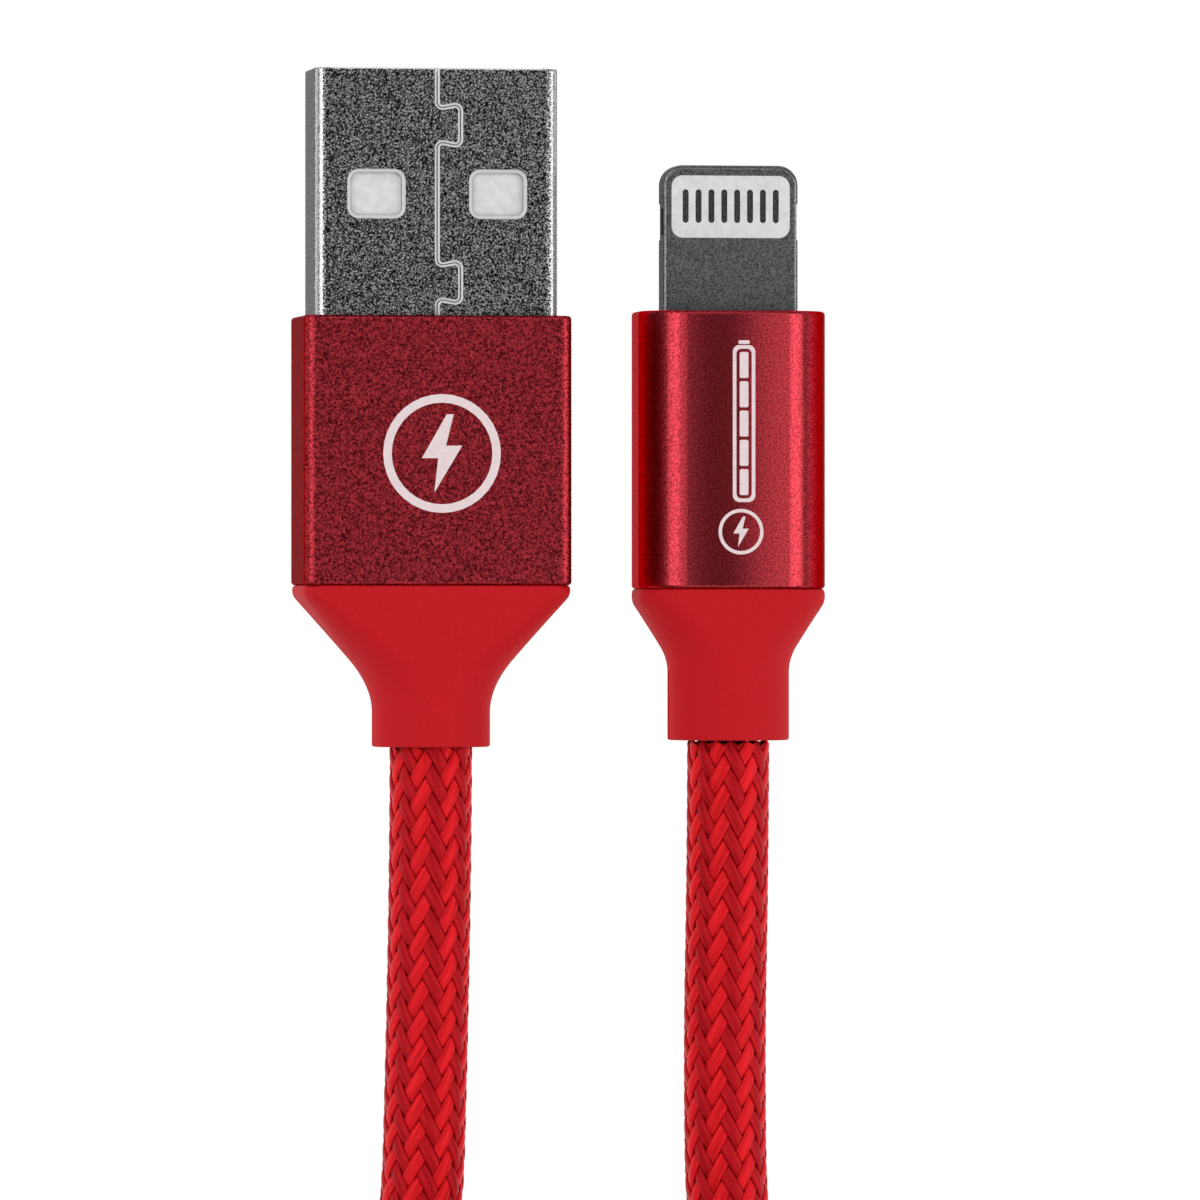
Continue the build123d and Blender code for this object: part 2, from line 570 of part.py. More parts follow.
tip_place = Pos(TIP_X, TIP_TIP_Y, AXIS_HEIGHT)
tip_crimp_at = TIP_REAR_AT + 0.6
write("tip_frame", tip_frame(), tip_place)
write("tip_insulator", tip_insulator(), tip_place)
write("tip_contacts_upper", tip_pads(1), tip_place)
write("tip_contacts_lower", tip_pads(-1), tip_place)
write("tip_board", tip_board(), tip_place)
write("tip_controller_chip", tip_chip(), tip_place)
write("tip_capacitors", tip_capacitors(), tip_place)
write("tip_shield_can_upper", tip_shield_can(1), tip_place)
write("tip_shield_can_lower", tip_shield_can(-1), tip_place)
joints = []
solder_at = BOARD_END_AT - 0.3 - SOLDER_SIZE[1]
for name, side, level in (("ground", -1, 1), ("data_plus", -1, -1), ("data_minus", 1, 1), ("power", 1, -1)):
    face = level * BOARD_THICKNESS / 2
    joints.append(solder(side * 1.1, face, solder_at))
    height = face + level * SOLDER_SIZE[2] / 2
    front = solder_at + SOLDER_SIZE[1]
    lead = wire(side * 1.1, height + level * 0.13, front, TIP_JACKET_AT, TIP_END_AT, side, level)
    write(f"tip_wire_{name}", lead, tip_place)
write("tip_solder_joints", Compound(children=joints), tip_place)
write("tip_inner_mould", tip_inner_mould(), tip_place)
write("tip_housing", tip_housing(), tip_place)
write("tip_jacket_end", jacket_end(TIP_JACKET_AT, TIP_END_AT), tip_place)
write("tip_braid_end", braid_end(tip_crimp_at, TIP_END_AT), tip_place)
write("tip_crimp_ring", crimp_ring(tip_crimp_at), tip_place)
tip_boot = boot(TIP_HOUSING_WIDTH, TIP_CORNER, TIP_COLLAR, TIP_BOOT_STRAIGHT, TIP_BOOT_TAPER, TIP_BOOT_BLEND,
                TIP_BORE, TIP_CORNER - TIP_WALL, TIP_REAR_AT, TIP_END_AT, tip_crimp_at)
write("tip_boot", tip_boot, tip_place)

write("cable_usb_run", cable_run("cable_usb_run", USB_ROUTE))
write("cable_tip_run", cable_run("cable_tip_run", TIP_ROUTE))
write("cable_hank", cable_hank())
write("hank_tie", hank_tie())
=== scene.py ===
import math

import bpy
import numpy as np
from mathutils import Matrix, Vector


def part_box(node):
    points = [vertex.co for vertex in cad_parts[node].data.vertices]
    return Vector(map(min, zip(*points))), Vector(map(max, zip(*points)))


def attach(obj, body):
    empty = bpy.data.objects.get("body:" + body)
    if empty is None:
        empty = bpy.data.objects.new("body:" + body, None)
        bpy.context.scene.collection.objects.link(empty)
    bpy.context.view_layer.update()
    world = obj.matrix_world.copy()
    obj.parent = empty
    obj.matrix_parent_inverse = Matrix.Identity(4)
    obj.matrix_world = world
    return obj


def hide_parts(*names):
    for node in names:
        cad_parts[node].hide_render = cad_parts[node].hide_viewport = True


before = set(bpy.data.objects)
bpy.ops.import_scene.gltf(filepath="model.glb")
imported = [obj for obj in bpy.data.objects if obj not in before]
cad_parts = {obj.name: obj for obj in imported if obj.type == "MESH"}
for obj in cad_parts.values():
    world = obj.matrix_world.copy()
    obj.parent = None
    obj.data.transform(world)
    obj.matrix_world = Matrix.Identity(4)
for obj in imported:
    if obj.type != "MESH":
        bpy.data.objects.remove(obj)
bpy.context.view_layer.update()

# The cable: four wires and filler in a soft jacket, under a tubular braid of silky nylon. It leaves each
# plug's boot level, comes down to the table, and the rest of its length is folded into an oval hank.

CABLE_WIDTH = 0.0041
ON_TABLE = 0.00205
USB_ROUTE = [
    (-0.006425, -0.0166, 0.003),
    (-0.00644, -0.022, 0.00293),
    (-0.00652, -0.0315, 0.0022),
    (-0.0068, -0.042, ON_TABLE),
    (-0.0107, -0.0535, ON_TABLE),
    (-0.0113, -0.06145, ON_TABLE),
]
TIP_ROUTE = [
    (0.008375, -0.0163, 0.003),
    (0.00837, -0.0224, 0.0029),
    (0.0083, -0.032, 0.00218),
    (0.0085, -0.0425, ON_TABLE),
    (0.01272, -0.054, ON_TABLE),
    (0.0133, -0.06145, ON_TABLE),
]


def hank_points():
    """The hank's turns. Each is an oval: down the left side, round the far end, up the right side and round
    the near end. The six strands of a side lie two wide and three high, and each keeps its place along the
    sides. Round the far end the six turn by one place together, as a rope's strands do: the outer ones go
    further out, and the corner ones half as far."""
    d = CABLE_WIDTH
    middle = (USB_ROUTE[-1][0] + TIP_ROUTE[-1][0]) / 2
    inner = middle - USB_ROUTE[-1][0]
    near, straight = USB_ROUTE[-1][1], 0.029
    far, waist = near - straight, near - straight / 2
    places = [(0, 0), (1, 0), (1, 1), (1, 2), (0, 2), (0, 1)]  # column and layer
    reach = [0.45 * d, 0.9 * d, 0.9 * d, 0.45 * d, 0, 0]
    step = 15  # degrees between the points of an end loop
    half_step = math.radians(step / 2)
    turn = np.radians(step / 2 + step * np.arange(12))
    strap_room, strap_reach, strap_ramp = 0.0009, 0.0115, 0.007
    hump_start, hump_ramp = 0.014, 0.022

    def smooth(x):
        x = np.clip(x, 0, 1)
        return x * x * (3 - 2 * x)

    def loop_hump(column, y):
        """The outer column rises near the cable's two ends, to pass over them."""
        return column * d * smooth((y - near + hump_start) / hump_ramp)

    def side(x_sign, place, out, up):
        """One long side, with points as far apart at its ends as on the loops. It lifts at the waist over the
        strap."""
        radius = inner + place[0] * d
        leg = radius * math.tan(half_step)
        length = straight + out
        down = np.array([leg, 3 * leg, 0.36 * length, 0.5 * length, 0.64 * length,
                         length - 3 * leg, length - leg])
        y = near - down
        over_strap = strap_room * smooth((strap_reach - abs(y - waist)) / strap_ramp)
        z = d / 2 + place[1] * d + over_strap + loop_hump(place[0], y)
        return np.stack([np.full(7, middle + x_sign * radius), y, z], axis=1)[:: -1 if up else 1]

    def far_end(start, after, out):
        """Half a turn, from a left place to the next right one, about a centre that is further out by out."""
        share = smooth(turn / np.pi)
        column = places[start][0] + share * (places[after][0] - places[start][0])
        layer = places[start][1] + share * (places[after][1] - places[start][1])
        radius = (inner + column * d) / math.cos(half_step)
        x, y = middle - radius * np.cos(turn), far - out - radius * np.sin(turn)
        return np.stack([x, y, d / 2 + layer * d], axis=1)

    def near_end(place):
        """Half a turn at one place."""
        radius = (inner + place[0] * d) / math.cos(half_step)
        x, y = middle + radius * np.cos(turn), near + radius * np.sin(turn)
        return np.stack([x, y, d / 2 + place[1] * d + loop_hump(place[0], y)], axis=1)

    rows = []
    for lap in range(6):
        after = (lap + 1) % 6
        out = reach[lap]
        rows += [side(-1, places[lap], out, False), far_end(lap, after, out),
                 side(1, places[after], out, True)]
        if after:
            rows.append(near_end(places[after]))
    return np.concatenate(rows)[2:-2]


def smooth_line(points):
    """The points of one smooth NURBS spline with these control points, from end to end."""
    curve = bpy.data.curves.new("cable_line", "CURVE")
    curve.dimensions = "3D"
    curve.resolution_u = 8
    spline = curve.splines.new("NURBS")
    spline.points.add(len(points) - 1)
    spline.points.foreach_set("co", np.insert(np.asarray(points), 3, 1, axis=1).ravel())
    spline.order_u = 3
    spline.use_endpoint_u = True
    holder = bpy.data.objects.new("cable_line", curve)
    mesh = bpy.data.meshes.new_from_object(holder)
    line = np.array([v.co for v in mesh.vertices])
    bpy.data.objects.remove(holder)
    bpy.data.meshes.remove(mesh)
    return line


cable_line = smooth_line(np.concatenate([USB_ROUTE, hank_points(), TIP_ROUTE[::-1]]))


def along_line(line, stations):
    """Place, tangent, level side and upward normal of the line at each distance along it."""
    steps = np.linalg.norm(np.diff(line, axis=0), axis=1)
    run = np.concatenate([[0], np.cumsum(steps)])
    place = np.stack([np.interp(stations, run, line[:, k]) for k in range(3)], axis=1)
    tangent = np.gradient(place, stations, axis=0)
    tangent /= np.linalg.norm(tangent, axis=1)[:, None]
    side = np.cross(tangent, (0, 0, 1))
    side /= np.linalg.norm(side, axis=1)[:, None]
    return place, tangent, side, np.cross(side, tangent)


def line_length(line):
    """The sum of the line's steps."""
    return float(np.linalg.norm(np.diff(line, axis=0), axis=1).sum())


def tube_faces(rings, points):
    """Quads between neighbouring rings of points, each ring closed, and a flat face over each end."""
    ring = np.arange(rings - 1)[:, None] * points
    point = np.arange(points)[None, :]
    after = (point + 1) % points
    quads = np.stack([ring + point, ring + after, ring + points + after, ring + points + point], axis=-1)
    ends = [np.arange(points)[::-1], np.arange(points) + (rings - 1) * points]
    return quads.reshape(-1, 4).tolist() + [e.tolist() for e in ends]


def new_piece(name, points, faces):
    """A smooth-shaded mesh piece that rides on the root body."""
    mesh = bpy.data.meshes.new(name)
    mesh.from_pydata(np.asarray(points).tolist(), [], faces)
    mesh.shade_smooth()
    piece = bpy.data.objects.new(name, mesh)
    bpy.context.collection.objects.link(piece)
    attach(piece, "root")
    return piece


cable_length = line_length(cable_line)
JACKET_RADIUS = 0.00164
JACKET_STEP = 0.0008  # between the rings of the tube
stations = np.arange(0, cable_length, JACKET_STEP)
place, tangent, side, up = along_line(cable_line, stations)
turn = np.radians(np.arange(0, 360, 30))[None, :, None]
jacket_points = place[:, None] + JACKET_RADIUS * (np.cos(turn) * up[:, None] + np.sin(turn) * side[:, None])
jacket = new_piece("cable_jacket", jacket_points.reshape(-1, 3), tube_faces(len(stations), 12))
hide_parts("cable_usb_run", "cable_tip_run", "cable_hank")

# The braid over the jacket: 32 flat bundles of nylon filament from a 32-carrier braider, half of them wound
# each way, each over two and under two. The crossings line up in columns along the cable.

CARRIERS = 16  # each way round
BRAID_LEAD = 0.0224
BRAID_RADIUS = 0.00185
BUNDLE_HALF_WIDTH = 0.000345
BUNDLE_HALF_THICKNESS = 0.0001
BRAID_LIFT = 0.0001


def bundle_points(first_way, number, stations):
    """One bundle: its centre goes round the cable once a lead, and its distance from the axis is a cosine
    that is high over two crossings and low under the next two. Its section is a flat ellipse, square to
    it."""
    place, tangent, side, up = along_line(cable_line, stations)
    sense = 1 if first_way else -1
    column = number + sense * CARRIERS * stations / BRAID_LEAD
    azimuth = (column - 0.25) * 2 * np.pi / CARRIERS
    lift = sense * BRAID_LIFT * np.cos(np.pi / 2 * (2 * column - 0.5))
    out = np.cos(azimuth)[:, None] * side + np.sin(azimuth)[:, None] * up
    round_way = -np.sin(azimuth)[:, None] * side + np.cos(azimuth)[:, None] * up
    slope = math.atan(2 * math.pi * BRAID_RADIUS / BRAID_LEAD)
    along = math.cos(slope) * tangent + sense * math.sin(slope) * round_way
    across = np.cross(along, out)
    turn = np.radians([0, 45, 90, 135, 180, 270])[None, :, None]
    centre = place + (BRAID_RADIUS + lift)[:, None] * out
    flat = BUNDLE_HALF_WIDTH * np.cos(turn) * across[:, None]
    thick = BUNDLE_HALF_THICKNESS * np.sin(turn) * out[:, None]
    return centre[:, None] + flat + thick


def quad_mesh(name, points, quads, uv):
    """A smooth-shaded mesh of quads only, with a UV for each point, set as whole arrays."""
    mesh = bpy.data.meshes.new(name)
    mesh.vertices.add(len(points))
    mesh.vertices.foreach_set("co", points.ravel())
    mesh.loops.add(quads.size)
    mesh.loops.foreach_set("vertex_index", quads.ravel())
    mesh.polygons.add(len(quads))
    mesh.polygons.foreach_set("loop_start", np.arange(len(quads)) * 4)
    mesh.update(calc_edges=True)
    layer = mesh.uv_layers.new(name="along")
    layer.data.foreach_set("uv", uv[quads.ravel()].ravel())
    mesh.shade_smooth()
    return mesh


near_plugs = 0.034
fine, coarse = 0.00014, 0.0004
braid_stations = np.concatenate([np.arange(0, near_plugs, fine),
                                 np.arange(near_plugs, cable_length - near_plugs, coarse),
                                 np.arange(cable_length - near_plugs, cable_length, fine)])
rings = len(braid_stations)
ring = (np.arange(rings - 1) * 6)[:, None]
point = np.arange(6)[None, :]
after = (point + 1) % 6
bundle_quads = np.stack([ring + point, ring + 6 + point, ring + 6 + after, ring + after], axis=-1)
bundle_quads = bundle_quads.reshape(-1, 4)
bundle_uv = np.stack(np.broadcast_arrays(point / 6, braid_stations[:, None] / 0.001), axis=-1).reshape(-1, 2)
yarns = []
for group in range(8):
    first_way = group < 4
    numbers = [4 * (group % 4) + k for k in range(4)]
    points = np.concatenate([bundle_points(first_way, n, braid_stations).reshape(-1, 3) for n in numbers])
    quads = np.concatenate([bundle_quads + k * rings * 6 for k in range(4)])
    shift = np.repeat(np.arange(4), rings * 6)[:, None] * (0, 7.3)  # gives each bundle its own streaks
    name = f"braid_yarns_{group + 1}"
    yarn = bpy.data.objects.new(name, quad_mesh(name, points, quads, np.tile(bundle_uv, (4, 1)) + shift))
    bpy.context.collection.objects.link(yarn)
    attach(yarn, "root")
    yarns.append(yarn)


def linear(hex_colour):
    """An sRGB hex colour as linear red, green, blue and alpha 1."""
    c = np.array([int(hex_colour[k:k + 2], 16) for k in (1, 3, 5)]) / 255
    return (*np.where(c <= 0.04045, c / 12.92, ((c + 0.055) / 1.055) ** 2.4).tolist(), 1)


def add(material, kind, inputs=None, **settings):
    """Adds a node with its settings. An input is a value, or another node's socket, which is linked to it."""
    node = material.node_tree.nodes.new(kind)
    for name, value in settings.items():
        setattr(node, name, value)
    for name, value in (inputs or {}).items():
        if isinstance(value, bpy.types.NodeSocket):
            material.node_tree.links.new(value, node.inputs[name])
        else:
            node.inputs[name].default_value = value
    return node


def new_material(name):
    """An empty node material."""
    material = bpy.data.materials.new(name)
    material.use_nodes = True
    material.node_tree.nodes.clear()
    return material


def coat(material, *names):
    """Puts the material on these pieces or CAD nodes."""
    for name in names:
        mesh_object = bpy.data.objects[name] if name in bpy.data.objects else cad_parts[name]
        if not mesh_object.material_slots:
            mesh_object.data.materials.append(material)
        for material_slot in mesh_object.material_slots:
            material_slot.material = material


def braided_nylon(name, dark, light):
    """Silky continuous nylon filament: light runs along each bundle in fine streaks of its own colour."""
    nylon = new_material(name)
    uv = add(nylon, "ShaderNodeUVMap", uv_map="along")
    # Filaments are 0.03 mm, drawn at 0.1 mm across a bundle 0.7 mm wide, and about 2 mm long.
    stretch = add(nylon, "ShaderNodeMapping", {"Vector": uv.outputs[0], "Scale": (9.0, 0.5, 1.0)})
    streaks = add(nylon, "ShaderNodeTexNoise", {"Vector": stretch.outputs[0], "Scale": 1.0, "Detail": 3.0})
    shades = add(nylon, "ShaderNodeMapRange", {0: streaks.outputs[0], 1: 0.3, 2: 0.7})
    colour = add(nylon, "ShaderNodeMix", {0: shades.outputs[0], 6: linear(dark), 7: linear(light)},
                 data_type="RGBA")
    relief = add(nylon, "ShaderNodeBump", {"Strength": 0.35, "Distance": 0.00003,
                                           "Height": streaks.outputs[0]})
    lay = add(nylon, "ShaderNodeTangent", direction_type="UV_MAP", uv_map="along")
    silk = add(nylon, "ShaderNodeBsdfPrincipled",
               {"Base Color": colour.outputs[2], "Metallic": 0.3, "Roughness": 0.5, "Anisotropic": 0.7,
                "Anisotropic Rotation": 0.25, "Specular IOR Level": 0.1,
                "Normal": relief.outputs[0], "Tangent": lay.outputs[0]})
    add(nylon, "ShaderNodeOutputMaterial", {"Surface": silk.outputs[0]})
    return nylon


# The bundles of one way are a painted shade deeper than the others, so that the bright and dull columns show
# as painted light and shade.
coat(braided_nylon("nylon_braid_deep", "#A81019", "#CC1821"), *[y.name for y in yarns[:4]])
coat(braided_nylon("nylon_braid_bright", "#CC161F", "#F4222B"), *[y.name for y in yarns[4:]], "usb_braid_end",
     "tip_braid_end")


def speckled(name, dark, light, grain_mm, metallic, roughness, relief, at_grazing="#FFFFFF",
             spread_over=(0.35, 0.65)):
    """A finish whose colour, gloss and relief all follow one noise of that grain size. The colour goes from
    dark to light over the given part of the noise's range."""
    material = new_material(name)
    where = add(material, "ShaderNodeTexCoord")
    noise = add(material, "ShaderNodeTexNoise", {"Vector": where.outputs["Object"], "Scale": 1000 / grain_mm,
                                                 "Detail": 2.0, "Roughness": 0.6})
    spread = add(material, "ShaderNodeMapRange",
                 {0: noise.outputs[0], 1: spread_over[0], 2: spread_over[1]})
    colour = add(material, "ShaderNodeMix", {0: spread.outputs[0], 6: linear(dark), 7: linear(light)},
                 data_type="RGBA")
    gloss = add(material, "ShaderNodeMapRange", {0: noise.outputs[0], 1: 0.3, 2: 0.7,
                                                 3: roughness - 0.06, 4: roughness + 0.06})
    bump = add(material, "ShaderNodeBump",
               {"Strength": relief, "Distance": 0.00002, "Height": noise.outputs[0]})
    shader = add(material, "ShaderNodeBsdfPrincipled",
                 {"Base Color": colour.outputs[2], "Metallic": metallic, "Roughness": gloss.outputs[0],
                  "Specular IOR Level": 0.5 if metallic else 0.15, "Specular Tint": linear(at_grazing),
                  "Normal": bump.outputs[0]})
    add(material, "ShaderNodeOutputMaterial", {"Surface": shader.outputs[0]})
    return material


# Extruded PVC, a dull red, seen only through the gaps of the braid.
coat(speckled("pvc_jacket_extruded", "#5E0A0F", "#7E1016", 0.3, 0, 0.6, 0.3), "cable_jacket",
     "usb_jacket_end", "tip_jacket_end")

# The camera looks down from a little to the left, so the left sides of the plugs show as narrow strips.

LEAN = 0.157  # radians
FOCAL_SHARE = 10226 / 1200  # of the image's width
camera = bpy.data.objects.new("camera", bpy.data.cameras.new("camera"))
bpy.context.collection.objects.link(camera)
bpy.context.scene.camera = camera
forward = Vector((math.tan(LEAN), 0, -1)).normalized()
right = forward.cross(Vector((0, 1, 0))).normalized()
rotation = Matrix((right, right.cross(forward), -forward)).transposed()
camera.matrix_world = Matrix.Translation((-0.0767, -0.0094, 0.5)) @ rotation.to_4x4()
camera.data.sensor_width = 36
camera.data.lens = 36 * FOCAL_SHARE
camera.data.clip_end = 10

# The USB plug's shell: 0.3 mm steel sheet, stamped, folded to a box with an interlocked seam on top, and
# plated with nickel. The plating keeps the fine pits of the rolled sheet, so the flats sparkle.

shell_steel = speckled("nickel_plated_steel_stamped", "#121214", "#E6E6E6", 0.09, 1, 0.24, 0.55, "#8A8A8C",
                       (0.43, 0.66))
coat(shell_steel, "usb_shell")

# The edges of the seam and of the windows are bevelled 0.1 to 0.16 mm. They are painted pale and matt, a
# painted highlight, and are found by their slope, within a reach of the shell's middle.
EDGE_REACH = 0.0052
LEVEL, STEEP = 0.9, 0.3  # upward parts of the normal between which a face counts as a bevel
(shell_low, _, _), (shell_high, _, _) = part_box("usb_shell")
where = add(shell_steel, "ShaderNodeTexCoord")
across = add(shell_steel, "ShaderNodeSeparateXYZ", {0: where.outputs["Object"]})
off_middle = add(shell_steel, "ShaderNodeMath", {0: across.outputs[0], 1: (shell_low + shell_high) / 2},
                 operation="SUBTRACT")
aside = add(shell_steel, "ShaderNodeMath", {0: off_middle.outputs[0]}, operation="ABSOLUTE")
inner = add(shell_steel, "ShaderNodeMath", {0: aside.outputs[0], 1: EDGE_REACH},
            operation="LESS_THAN")
surface = add(shell_steel, "ShaderNodeNewGeometry")
facing = add(shell_steel, "ShaderNodeSeparateXYZ", {0: surface.outputs["True Normal"]})
sloped = add(shell_steel, "ShaderNodeMath", {0: facing.outputs[2], 1: LEVEL}, operation="LESS_THAN")
upward = add(shell_steel, "ShaderNodeMath", {0: facing.outputs[2], 1: STEEP}, operation="GREATER_THAN")
bevel = add(shell_steel, "ShaderNodeMath", {0: sloped.outputs[0], 1: upward.outputs[0]},
            operation="MULTIPLY")
edge = add(shell_steel, "ShaderNodeMath", {0: bevel.outputs[0], 1: inner.outputs[0]}, operation="MULTIPLY")
plated = next(n for n in shell_steel.node_tree.nodes if n.type == "BSDF_PRINCIPLED")
face_colour = plated.inputs["Base Color"].links[0].from_socket
# The folded corners have the same slope further out, and get the painted highlight at half strength.
corner_painted_highlight = add(shell_steel, "ShaderNodeMath", {0: bevel.outputs[0], 1: 0.5}, operation="MULTIPLY")
bright = add(shell_steel, "ShaderNodeMath", {0: corner_painted_highlight.outputs[0], 1: edge.outputs[0]}, operation="MAXIMUM")
# The painted highlight: the bevels and corners are mixed towards pale grey, and the bevels lose their metal.
painted_highlight_colour = add(shell_steel, "ShaderNodeMix", {0: bright.outputs[0], 6: face_colour, 7: linear("#E2E2E2")},
                data_type="RGBA")
metal = add(shell_steel, "ShaderNodeMath", {0: 1.0, 1: edge.outputs[0]}, operation="SUBTRACT")
shell_steel.node_tree.links.new(painted_highlight_colour.outputs[2], plated.inputs["Base Color"])
shell_steel.node_tree.links.new(metal.outputs[0], plated.inputs["Metallic"])

# The plug's tongue and the block behind it: white PBT, injection moulded, with four gilt phosphor bronze
# springs.

pbt = speckled("pbt_moulded_white", "#DADADA", "#E6E6E6", 0.5, 0, 0.45, 0.08)
coat(pbt, "usb_insulator")
gilt = speckled("gold_plated_bronze", "#B58A34", "#E3C069", 0.08, 1, 0.28, 0.15)
coat(gilt, "usb_contact_ground", "usb_contact_data_plus", "usb_contact_data_minus", "usb_contact_power")

# The USB plug's sleeve: aluminium, drawn, blasted with fine glass beads and anodised red.

usb_anodised = speckled("anodised_aluminium_red", "#5A1218", "#CC3E48", 0.11, 1, 0.36, 0.6, "#A02028")
coat(usb_anodised, "usb_housing")

# Pad-printed pale ink on the sleeve: a plain charging mark, a bolt in a ring.


def rounded_loop(width, height, corner, centre, steps=10):
    """Points round a rectangle with corner arcs, counterclockwise: each corner is a quarter circle about
    its own centre."""
    turn = np.radians(np.concatenate([np.linspace(a, a + 90, steps) for a in (0, 90, 180, 270)]))
    corner_x = np.repeat([1, -1, -1, 1], steps) * (width / 2 - corner)
    corner_y = np.repeat([1, 1, -1, -1], steps) * (height / 2 - corner)
    return np.stack([corner_x + corner * np.cos(turn), corner_y + corner * np.sin(turn)], axis=1) + centre


def printed(name, shapes, height):
    """A sheet of ink 0.02 mm thick. A shape is one loop, filled, or two loops with the ink between them."""
    points, faces = [], []
    for outer, inner in shapes:
        first = sum(len(p) for p in points)
        points.append(outer)
        if inner is None:
            faces.append(list(range(first, first + len(outer))))
            continue
        points.append(inner)
        k = np.arange(len(outer))
        k_after = (k + 1) % len(outer)
        strip = np.stack([k, k_after, k_after + len(outer), k + len(outer)], axis=1) + first
        faces += strip.tolist()
    flat = np.concatenate(points)
    piece = new_piece(name, np.insert(flat, 2, height, axis=1), faces)
    piece.data.shade_flat()
    sheet = piece.modifiers.new("ink", "SOLIDIFY")
    sheet.thickness = 0.00002
    sheet.offset = 0


BOLT = np.array([(0.12, 1.0), (-0.52, -0.12), (-0.1, -0.12), (-0.2, -1.0), (0.52, 0.2), (0.1, 0.2),
                 (0.3, 1.0)])


def bolt_in_ring(centre, radius, stroke):
    """A ring between two circles, and a bolt of straight sides inside it."""
    ring = [rounded_loop(2 * r, 2 * r, r, centre) for r in (radius, radius - stroke)]
    return [ring, (BOLT * radius * 0.66 + centre, None)]


housing_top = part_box("usb_housing")[1][2]
INK_LIFT = 0.000008
printed("usb_mark", bolt_in_ring((-0.0063, -0.00225), 0.0029, 0.00042), housing_top + INK_LIFT)
ink = speckled("printed_ink_pale", "#EBD7D9", "#F1DFE1", 0.4, 0, 0.5, 0.05)
coat(ink, "usb_mark")

# The two strain-relief boots: red thermoplastic elastomer, moulded over the cable with a fine matt
# spark-eroded skin.


def boot_skin(node, profile, corner, collar):
    """A boot's skin. The profile, distance behind the sleeve and half width, has its corners cut four times
    over, which makes it a smooth line. Each section is a rounded rectangle: as the half width falls to the
    collar's, the half height goes from the sleeve's to the collar's and the corner radius grows to it."""
    low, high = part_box(node)
    line = np.array(profile)
    for _ in range(4):
        near_start = 0.75 * line[:-1] + 0.25 * line[1:]
        near_after = 0.25 * line[:-1] + 0.75 * line[1:]
        cut = np.stack([near_start, near_after], axis=1).reshape(-1, 2)
        line = np.concatenate([line[:1], cut[1:-1], line[-1:]])
    down, half_width = line.T
    widest = half_width.max()
    done = np.clip((widest - half_width) / (widest - collar), 0, 1)
    done = np.where(down < 0.4, 0, np.where(down > profile[-1][0] - 0.4, 1, done))
    sleeve = 3.0  # half height
    half_height = sleeve + (collar - sleeve) * done - (half_width < collar) * (collar - half_width)
    half_height -= (down < 0.3) * (widest - half_width)
    rounder = corner + (collar - corner) * np.sin(np.pi / 2 * done)
    radius = np.minimum(rounder, np.minimum(half_width, half_height))
    angle = np.radians(np.concatenate([np.linspace(a, a + 90, 14) for a in (0, 90, 180, 270)]))
    sign_x, sign_z = np.repeat([1, -1, -1, 1], 14), np.repeat([1, 1, -1, -1], 14)
    x = sign_x * (half_width - radius)[:, None] + radius[:, None] * np.cos(angle)
    z = sign_z * (half_height - radius)[:, None] + radius[:, None] * np.sin(angle)
    y = np.broadcast_to(-down[:, None], x.shape)
    middle = np.array([(low[0] + high[0]) / 2, low[1] + profile[-1][0] / 1000,
                       (low[2] + high[2]) / 2])
    points = np.stack([x, y, z], axis=-1).reshape(-1, 3) / 1000 + middle
    skin = new_piece(f"{node}_skin", points, tube_faces(len(down), 56))
    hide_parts(node)


boot_skin("usb_boot", [(0, 6.3), (0, 6.6), (0.5, 6.6), (0.95, 6.23), (2.3, 5.12), (4.99, 2.9), (7.5, 2.9),
                       (7.65, 2.9), (7.92, 2.9), (7.92, 2.6), (7.92, 2.1)], 1.0, 2.9)
boot_skin("tip_boot", [(0, 4.35), (0, 4.65), (0.65, 4.65), (1.05, 4.41), (2.2, 3.74), (3.45, 3.0), (4.8, 3.0),
                       (7.15, 3.0), (7.45, 3.0), (7.45, 2.7), (7.45, 2.1)], 2.1, 3.0)
elastomer = speckled("elastomer_moulded_matt", "#C3131C", "#CB1720", 0.15, 0, 0.7, 0.1)
coat(elastomer, "usb_boot_skin", "tip_boot_skin")

# The eight-contact plug's tongue: a steel frame, machined and bead blasted to a fine dull grey. It holds a
# white moulded plate on each face.

frame_steel = speckled("steel_machined_blasted", "#5C5C5E", "#8C8C8E", 0.09, 1, 0.32, 0.35, "#8A8A8C")
coat(frame_steel, "tip_frame")
coat(pbt, "tip_insulator")

# Its contacts: copper pads under a hard dark plating of the rhodium kind, lying just under the plate's face.

dark_plating = speckled("rhodium_plated_copper", "#3A3A3C", "#5A5A5C", 0.12, 1, 0.4, 0.3)
coat(dark_plating, "tip_contacts_upper", "tip_contacts_lower")

# The eight-contact plug's sleeve: the same blasted and anodised aluminium, a little glossier on its softer
# curves.

tip_anodised = new_material("anodised_aluminium_red_crowned")
where = add(tip_anodised, "ShaderNodeTexCoord")
BEAD_GRAIN = 0.0001
blasting = add(tip_anodised, "ShaderNodeTexNoise", {"Vector": where.outputs["Object"],
                                                    "Scale": 1 / BEAD_GRAIN, "Detail": 2.0})
spread = add(tip_anodised, "ShaderNodeMapRange", {0: blasting.outputs[0], 1: 0.35, 2: 0.65})
colour = add(tip_anodised, "ShaderNodeMix",
             {0: spread.outputs[0], 6: linear("#8E252D"), 7: linear("#C8404A")}, data_type="RGBA")
